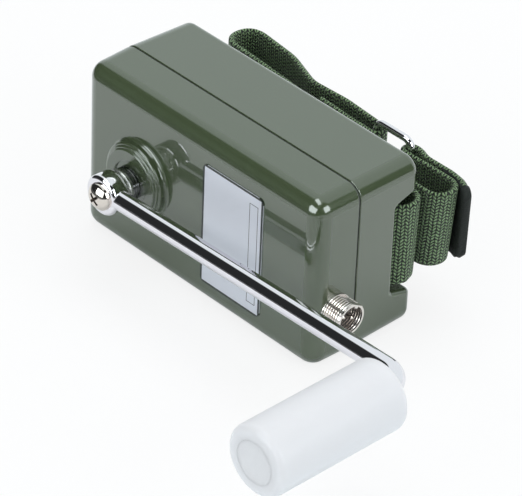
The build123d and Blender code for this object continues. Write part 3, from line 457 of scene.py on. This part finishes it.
# %% Put a finish on every CAD node
for subpart in frame["record"]["subparts"]:
    node = cad[subpart["node"]]
    node.data.materials.clear()
    node.data.materials.append(finishes[subpart["material_slot"]])
for name, finish in (("socket_shell", "threaded_nickel"), ("socket_pins", "nickel"),
                     ("crank_screw", "nickel"), ("shaft_seal", "enamel")):
    cad[name].data.materials[0] = finishes[finish]

# %% [markdown]
# ## The strap
# The strap is one long piece of webbing, and its path seen from above says almost all of
# its shape. Corner points and radii close to the CAD model's are turned into a smooth
# line, and a section with rounded edges is carried along it. A real strap isn't quite
# upright: where it is free its lower edge leans, so the line of the lower edge is moved
# sideways a little at the folds. Webbing is stiff enough that this needs no simulation.

# %% The strap's path from above
BACK = 22.5
AXIS_Z = 32.8
STRAP_WIDTH = 32.0
STRAP_THICKNESS = 2.2
RING_Y = BACK + 19.7
LAP = 2.6
RUN = 14.2
strap_corners = [  # x, y, corner radius, and how far the lower edge leans in x and y
    (-8.0, RING_Y - LAP + 1.0, 0.0, 0.0, 0.0),
    (8.0, RING_Y - LAP, 20.0, 0.0, 0.0),
    (17.2 + LAP, RING_Y - LAP, LAP - 0.05, 0.0, 0.0),
    (17.2 + LAP, RING_Y + LAP, LAP - 0.05, 0.0, 0.0),
    (-2.0, RING_Y + LAP + 1.6, 30.0, 0.0, 0.0),
    (-17.5, RING_Y + LAP + 0.7, 14.0, 0.0, 0.0),
    (-33.0, RING_Y + LAP + 6.4, 24.0, 0.0, 0.0),
    (-56.7, RING_Y + LAP + 9.0, 5.9, 0.0, 0.0),
    (-56.7, RING_Y - 0.9, 5.9, 0.0, 0.0),
    (-38.0, RING_Y - 2.0, 30.0, 0.0, 0.0),
    (2.0, RING_Y - 5.4, 2.2, 0.0, 0.0),
    (2.0, RING_Y - 10.4, 2.2, 0.0, 0.0),
    (-57.5, RING_Y - 11.6, 7.6, 0.0, 0.0),
    (-57.5, RUN, 7.6, 0.0, 0.0),
    (56.4, RUN, 5.9, -0.6, 0.0),
    (56.4, RUN + 11.9, 5.9, -1.4, 0.0),
    (6.0, RUN + 11.9, 1.3, 0.0, 0.0),
    (6.0, RUN + 14.6, 1.3, 0.0, 0.0),
    (59.6, RUN + 14.9, 5.2, -3.9, 1.4),
    (59.6, RING_Y - 2.2, 5.2, -3.9, 1.2),
    (46.0, RING_Y - 2.2, 20.0, 0.0, 0.0),
    (33.6 - LAP, RING_Y - LAP, LAP - 0.05, 0.0, 0.0),
    (33.6 - LAP, RING_Y + LAP, LAP - 0.2, 0.0, 0.0),
    (35.4, RING_Y + 2.4, 4.0, 0.0, 0.0),
    (40.0, RING_Y + 0.7, 4.0, 0.0, 0.3),
    (51.5, RING_Y + 0.8, 12.0, -1.0, 1.0),
    (57.5, RING_Y - 0.2, 10.0, -3.0, 2.5),
    (63.2, RING_Y - 3.3, 0.0, -4.7, 4.5),
]
print("strap corners", len(strap_corners))

# %% Round a path's corners
def rounded_path(corners, step):
    """Points every step or so along straight runs and tangent arcs, each with its lean."""
    path = []

    def run_to(point, lean):
        if path:
            start, start_lean = path[-1]
            count = max(1, round((point - start).length / step))
            for i in range(1, count + 1):
                share = i / count
                path.append((start.lerp(point, share), start_lean.lerp(lean, share)))
        else:
            path.append((point, lean))

    for i, (x, y, radius, lean_x, lean_y) in enumerate(corners):
        corner, lean = Vector((x, y)), Vector((lean_x, lean_y))
        if i in (0, len(corners) - 1):
            run_to(corner, lean)
            continue
        before = (Vector(corners[i - 1][:2]) - corner).normalized()
        after = (Vector(corners[i + 1][:2]) - corner).normalized()
        half_angle = before.angle(after) / 2
        tangent = radius / math.tan(half_angle)
        run_to(corner + before * tangent, lean)
        middle = corner + (before + after).normalized() * (radius / math.sin(half_angle))
        first = corner + before * tangent - middle
        last = corner + after * tangent - middle
        turn = math.pi - 2 * half_angle
        sign = 1.0 if first.x * last.y - first.y * last.x > 0 else -1.0
        count = max(2, round(radius * turn / step))
        for k in range(1, count + 1):
            angle = sign * turn * k / count
            spoke = Vector((first.x * math.cos(angle) - first.y * math.sin(angle),
                            first.x * math.sin(angle) + first.y * math.cos(angle)))
            path.append((middle + spoke, lean))
    return path


print("corners can be rounded")

# %% Relax the path
def relaxed(path, passes):
    """The same path with its sudden changes evened out."""
    for _ in range(passes):
        inner = [
            ((path[i - 1][0] + path[i][0] * 2 + path[i + 1][0]) / 4,
             (path[i - 1][1] + path[i][1] * 2 + path[i + 1][1]) / 4)
            for i in range(1, len(path) - 1)
        ]
        path = [path[0], *inner, path[-1]]
    return path


strap_path = relaxed(rounded_path(strap_corners, 0.6), 4)

# %% Carry the strap's section along its path
def band_mesh(name, path, sections, across):
    """A band on edge along a path, with rounded edges and a UV map in millimetres."""
    vertices, faces, uvs, along = [], [], [], 0.0
    for i, ((point, lean), (half, thickness)) in enumerate(zip(path, sections)):
        if i:
            along += (point - path[i - 1][0]).length
        ahead = path[min(i + 1, len(path) - 1)][0] - path[max(i - 1, 0)][0]
        normal = Vector((-ahead.y, ahead.x)).normalized()
        outline = []
        for k in range(across + 1):
            height = 2 * k / across - 1
            past = max(0.0, abs(height) * half - (half - thickness / 2)) / (thickness / 2)
            outline.append((height, math.sqrt(max(0.0, 1 - past ** 2))))
        outline += [(height, -bulge) for height, bulge in reversed(outline[1:-1])]
        for height, bulge in outline:
            at = point + lean * (1 - height) / 2 + normal * (bulge * thickness / 2)
            vertices.append((at.x * MM, at.y * MM, (AXIS_Z + height * half) * MM))
            uvs.append((along, height * half))
    size = 2 * across
    for i in range(len(path) - 1):
        for k in range(size):
            a, b = i * size + k, i * size + (k + 1) % size
            faces.append((a, b, b + size, a + size))
    faces.append(tuple(reversed(range(size))))
    faces.append(tuple(range((len(path) - 1) * size, len(path) * size)))
    mesh = bpy.data.meshes.new(name)
    mesh.from_pydata(vertices, [], faces)
    layer = mesh.uv_layers.new(name="strap_mm")
    for corner in mesh.loops:
        layer.data[corner.index].uv = uvs[corner.vertex_index]
    mesh.polygons.foreach_set("use_smooth", [True] * len(mesh.polygons))
    return mesh


print("band mesh ready")

# %% Add a piece that rides on a body
def add_piece(name, mesh, material, body):
    """Link a mesh as a piece that rides on a CAD body."""
    piece = bpy.data.objects.new(name, mesh)
    bpy.context.scene.collection.objects.link(piece)
    mesh.materials.append(material)
    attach(piece, body)
    return piece


print("pieces can be added")

# %% The strap
END_CORNER = 3.2


def rounded_end(rest, half):
    """Half height of a strip at a distance from its end, where its corners are rounded."""
    short = max(0.0, END_CORNER - rest)
    return half - END_CORNER + math.sqrt(max(0.0, END_CORNER ** 2 - short ** 2))


to_end = [0.0]  # how far each point of the path is from the strap's free end
for (point, _), (before, _) in zip(strap_path[::-1], strap_path[-2::-1]):
    to_end.append(to_end[-1] + (before - point).length)
to_end.reverse()
strap_sections = [(rounded_end(rest, STRAP_WIDTH / 2), STRAP_THICKNESS) for rest in to_end]
strap_piece = add_piece(
    "strap_webbing", band_mesh("strap_webbing", strap_path, strap_sections, 40),
    webbing, "housing")
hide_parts("webbing_strap")
print("strap vertices", len(strap_piece.data.vertices))

# %% [markdown]
# ## The strap's end: painted shade and a tape cap
# A near-black sheet lies over the near face of the strap's free end. It is painted shade:
# the webbing there is in deep shade, and the sheet stands in for it. A cap of black hook
# tape is turned over the end. Both parts follow the strap's own path, so they always lie on
# the webbing. They share one finish, a field of tiny stiff hooks, which looks like coarse
# felt and is drawn with noise.

# %% The black finish and the sizes of the painted shade sheet and the tape cap
# near black: real black tape on the cap, painted shade on the near face's sheet
black_tape_and_painted_shade = plain_finish("hook_tape", (0.010, 0.013, 0.011), 0.7, grain=1500, bump=1.0,
                     variation=0.6, smudge=0.2, **{"Specular IOR Level": 0.3})
SHADE_SHEET_LENGTH = 15.5
SHADE_SHEET_THICKNESS = 0.8
SHADE_SHEET_SUNK = 0.1    # how far the painted shade sheet's back is pressed into the webbing
CAP_LENGTH = 3.6
CAP_BEYOND = 0.8   # how far the cap goes past the strap's end
CAP_THICKNESS = STRAP_THICKNESS + 1.0
CAP_RIM = 0.25     # share of the cap's thickness that is left at its rounded edge
print("tape", SHADE_SHEET_LENGTH, "mm long, cap", CAP_THICKNESS, "mm thick")

# %% The painted shade sheet on the near face
def moved_aside(index, offset):
    """The strap path's point moved to one side of the webbing, with its lean."""
    point, lean = strap_path[index]
    ahead = strap_path[min(index + 1, len(strap_path) - 1)][0] - strap_path[index - 1][0]
    return point + Vector((-ahead.y, ahead.x)).normalized() * offset, lean


face_offset = -(STRAP_THICKNESS + SHADE_SHEET_THICKNESS) / 2 + SHADE_SHEET_SUNK
face_points = [i for i, rest in enumerate(to_end) if rest <= SHADE_SHEET_LENGTH]
face_path = [moved_aside(i, face_offset) for i in face_points]
face_sections = [(rounded_end(to_end[i], STRAP_WIDTH / 2 + 0.1), SHADE_SHEET_THICKNESS)
                 for i in face_points]
# a near-black sheet on the near face: painted shade where the webbing is in deep shade
shade_sheet_piece = add_piece(
    "strap_face_painted_shade", band_mesh("strap_face_painted_shade", face_path, face_sections, 32),
    black_tape_and_painted_shade, "housing")
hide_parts("hook_tape")
print("tape points", len(face_path))

# %% The cap over the strap's end
cap_half = STRAP_WIDTH / 2 + 0.3
cap_points = [i for i, rest in enumerate(to_end) if rest <= CAP_LENGTH]
cap_path = [moved_aside(i, -0.2) for i in cap_points]
cap_sections = [(rounded_end(to_end[i] + CAP_BEYOND, cap_half), CAP_THICKNESS)
                for i in cap_points]
last_step = (strap_path[-1][0] - strap_path[-2][0]).normalized()
cap_start, cap_lean = cap_path[-1]
for share in (0.35, 0.65, 0.85, 0.96, 1.0):
    cap_path.append((cap_start + last_step * CAP_BEYOND * share, cap_lean))
    cap_sections.append((
        rounded_end(CAP_BEYOND * (1 - share), cap_half),
        CAP_THICKNESS * (CAP_RIM + (1 - CAP_RIM) * math.sqrt(1 - share ** 2))))
add_piece("strap_end_cap", band_mesh("strap_end_cap", cap_path, cap_sections, 32),
          black_tape_and_painted_shade, "housing")
print("cap points", len(cap_path))

# %% [markdown]
# ## The studio
# The object stands on a white sheet in a dark room, with a pale backdrop behind it that
# curves up overhead. Glossy paint and chrome show their surroundings, so the dark band
# along the housing's edges and the black stripe in the crank are that dark room. The
# floor keeps its shadow for the camera, and a reflected ray sees where the sheet ends.

# %% The floor
FLOOR_RADIUS = 1.6
FLOOR_POINTS = 96
rim = []
for i in range(FLOOR_POINTS):
    angle = 2 * math.pi * i / FLOOR_POINTS
    rim.append((FLOOR_RADIUS * math.cos(angle), FLOOR_RADIUS * math.sin(angle), 0.0))
floor_mesh = bpy.data.meshes.new("studio_floor")
floor_mesh.from_pydata(rim, [], [tuple(range(FLOOR_POINTS))])
floor = bpy.data.objects.new("studio_floor", floor_mesh)
bpy.context.scene.collection.objects.link(floor)
print("floor radius", FLOOR_RADIUS, "m")

# %% The white sheet's material
SHEET_WHITE = (0.86, 0.9, 0.92, 1.0)
DARK_ROOM = (0.02, 0.02, 0.022, 1.0)
SHEET_SLANT = 0.5   # the sheet's front edge is the line y = -SHEET_FRONT - SHEET_SLANT * x
SHEET_FRONT = 0.20
SHEET_GLOW = 0.82   # share of plain white that the camera sees, over the lit sheet
floor_finish, tree, shader = start_material("studio_floor", Roughness=0.9)
rays = put(tree, "ShaderNodeLightPath")
spot = put(tree, "ShaderNodeSeparateXYZ",
           {0: put(tree, "ShaderNodeTexCoord").outputs["Object"]})
slant = math_node(tree, "MULTIPLY", spot.outputs["X"], SHEET_SLANT)
from_edge = math_node(tree, "ADD", math_node(tree, "ADD", spot.outputs["Y"], slant),
                      SHEET_FRONT)
on_sheet = put(tree, "ShaderNodeMapRange", {"Value": from_edge, "From Min": -0.01,
                                            "From Max": 0.01}).outputs[0]
beyond = math_node(tree, "MULTIPLY", rays.outputs["Is Glossy Ray"],
                   math_node(tree, "SUBTRACT", 1.0, on_sheet))
cover = put(tree, "ShaderNodeMix", {0: beyond, 6: SHEET_WHITE, 7: DARK_ROOM},
            data_type="RGBA")
tree.links.new(cover.outputs[2], shader.inputs["Base Color"])
glow = put(tree, "ShaderNodeEmission", {"Color": (1.0, 1.0, 1.0, 1.0), "Strength": 1.0})
share = math_node(tree, "MULTIPLY", rays.outputs["Is Camera Ray"], SHEET_GLOW)
blend = put(tree, "ShaderNodeMixShader", {0: share, 1: shader.outputs[0], 2: glow.outputs[0]})
tree.links.new(blend.outputs[0], tree.nodes["Material Output"].inputs["Surface"])
floor_mesh.materials.append(floor_finish)
print("sheet nodes", len(tree.nodes))

# %% [markdown]
# ## What the gloss sees
# A softbox is a bright rectangle far away. One group draws it in the world from the
# direction that it lies in, so each lamp's square highlight can be placed on its own. The
# rays that light the dull surfaces don't see these rectangles: they see an even grey.

# %% Group: a softbox in the world
softbox, entry, leave = start_group(
    "softbox",
    [("Direction", "vector", (0.0, 0.0, 1.0)), ("Facing", "vector", (0.0, 0.0, 1.0)),
     ("Across", "vector", (1.0, 0.0, 0.0)), ("Up", "vector", (0.0, 1.0, 0.0)),
     ("Half width", "float", 0.3), ("Half height", "float", 0.3)],
    [("Light", "float")],
)


def part_along(axis):
    """The part of the looked-at direction that lies along one of the softbox's axes."""
    return put(softbox, "ShaderNodeVectorMath", {0: entry.outputs["Direction"],
                                                 1: entry.outputs[axis]},
               operation="DOT_PRODUCT").outputs["Value"]


ahead = part_along("Facing")
inside = math_node(softbox, "GREATER_THAN", ahead, 0.05)
for axis, half in (("Across", "Half width"), ("Up", "Half height")):
    offset = math_node(softbox, "ABSOLUTE",
                       math_node(softbox, "DIVIDE", part_along(axis), ahead))
    margin = math_node(softbox, "SUBTRACT", entry.outputs[half], offset)
    edge = put(softbox, "ShaderNodeMapRange", {"Value": margin, "From Min": -0.02,
                                               "From Max": 0.02}).outputs[0]
    inside = math_node(softbox, "MULTIPLY", inside, edge)
softbox.links.new(inside, leave.inputs["Light"])
print("group", softbox.name, "nodes", len(softbox.nodes))

# %% The backdrop
BACKDROP_LEVEL = 0.93
ROOM_LEVEL = 0.025
world = bpy.data.worlds.new("studio_world")
bpy.context.scene.world = world
world.use_nodes = True
tree = world.node_tree
tree.nodes.clear()
rays = put(tree, "ShaderNodeLightPath")
aim = put(tree, "ShaderNodeTexCoord").outputs["Generated"]


def backdrop_edge(slope, width):
    """How far a direction lies inside one straight edge of the backdrop, from 0 to 1."""
    reach_in = put(tree, "ShaderNodeVectorMath", {0: aim, 1: slope},
                   operation="DOT_PRODUCT").outputs["Value"]
    return put(tree, "ShaderNodeMapRange", {"Value": reach_in, "From Min": -width,
                                            "From Max": width}).outputs[0]


backdrop = math_node(tree, "MULTIPLY", backdrop_edge((0.28, 1.0, 0.32), 0.05),
                     backdrop_edge((-0.85, 0.53, 0.20), 0.04))
mirrored = math_node(tree, "ADD", math_node(tree, "MULTIPLY", backdrop, BACKDROP_LEVEL),
                     ROOM_LEVEL)
print("backdrop level", BACKDROP_LEVEL, "room level", ROOM_LEVEL)

# %% The softboxes
softboxes = [  # azimuth from the front towards +X, height, half width, half height, strength
    (-3.0, 23.0, 0.46, 0.33, 6.0),
    (98.0, 28.0, 0.36, 0.30, 6.0),
    (-20.0, 78.0, 0.38, 0.18, 5.0),
]
for azimuth, lift, half_width, half_height, strength in softboxes:
    turn, rise = math.radians(azimuth), math.radians(lift)
    facing = (math.sin(turn) * math.cos(rise), -math.cos(turn) * math.cos(rise), math.sin(rise))
    across = (math.cos(turn), math.sin(turn), 0.0)
    upward = tuple(Vector(across).cross(Vector(facing)))
    one = use_group(tree, softbox, {"Direction": aim, "Facing": facing, "Across": across,
                                    "Up": upward, "Half width": half_width,
                                    "Half height": half_height}).outputs["Light"]
    mirrored = math_node(tree, "ADD", mirrored, math_node(tree, "MULTIPLY", one, strength))
print("softboxes", len(softboxes))

# %% Which ray sees what
EVEN_LIGHT = 0.62
PLAIN_WHITE = (1.0, 1.0, 1.0, 1.0)
COOL_WHITE = (0.92, 1.0, 1.02, 1.0)
gloss = math_node(tree, "MULTIPLY", rays.outputs["Is Glossy Ray"],
                  math_node(tree, "SUBTRACT", mirrored, EVEN_LIGHT))
white = math_node(tree, "MULTIPLY", rays.outputs["Is Camera Ray"], 1.0 - EVEN_LIGHT)
level = math_node(tree, "ADD", math_node(tree, "ADD", gloss, white), EVEN_LIGHT)
tint = put(tree, "ShaderNodeMix", {0: rays.outputs["Is Glossy Ray"], 6: PLAIN_WHITE,
                                   7: COOL_WHITE}, data_type="RGBA").outputs[2]
back = put(tree, "ShaderNodeBackground", {"Color": tint, "Strength": level})
end = put(tree, "ShaderNodeOutputWorld")
tree.links.new(back.outputs[0], end.inputs["Surface"])
print("world nodes", len(tree.nodes))

# %% [markdown]
# ## The lamps
# Three large lamps shape the dull surfaces: from the front, from the right and from above.
# They are hidden from reflected rays, because the world already draws the softboxes.

# %% The lamps
def soft_lamp(name, place, width, height, watts):
    """A rectangular lamp that faces the object and doesn't show in its gloss."""
    lamp = bpy.data.objects.new(name, bpy.data.lights.new(name, "AREA"))
    lamp.data.shape = "RECTANGLE"
    lamp.data.size, lamp.data.size_y, lamp.data.energy = width, height, watts
    bpy.context.scene.collection.objects.link(lamp)
    lamp.location = place
    lamp.rotation_euler = (-Vector(place)).to_track_quat("-Z", "Y").to_euler()
    lamp.visible_glossy = False
    return lamp


soft_lamp("lamp_above", (-0.1, 0.3, 1.1), 0.9, 0.9, 5.0)
soft_lamp("lamp_front", (-0.1, -1.0, 0.5), 0.6, 0.5, 2.5)
soft_lamp("lamp_right", (1.0, 0.1, 0.5), 0.6, 0.5, 2.5)
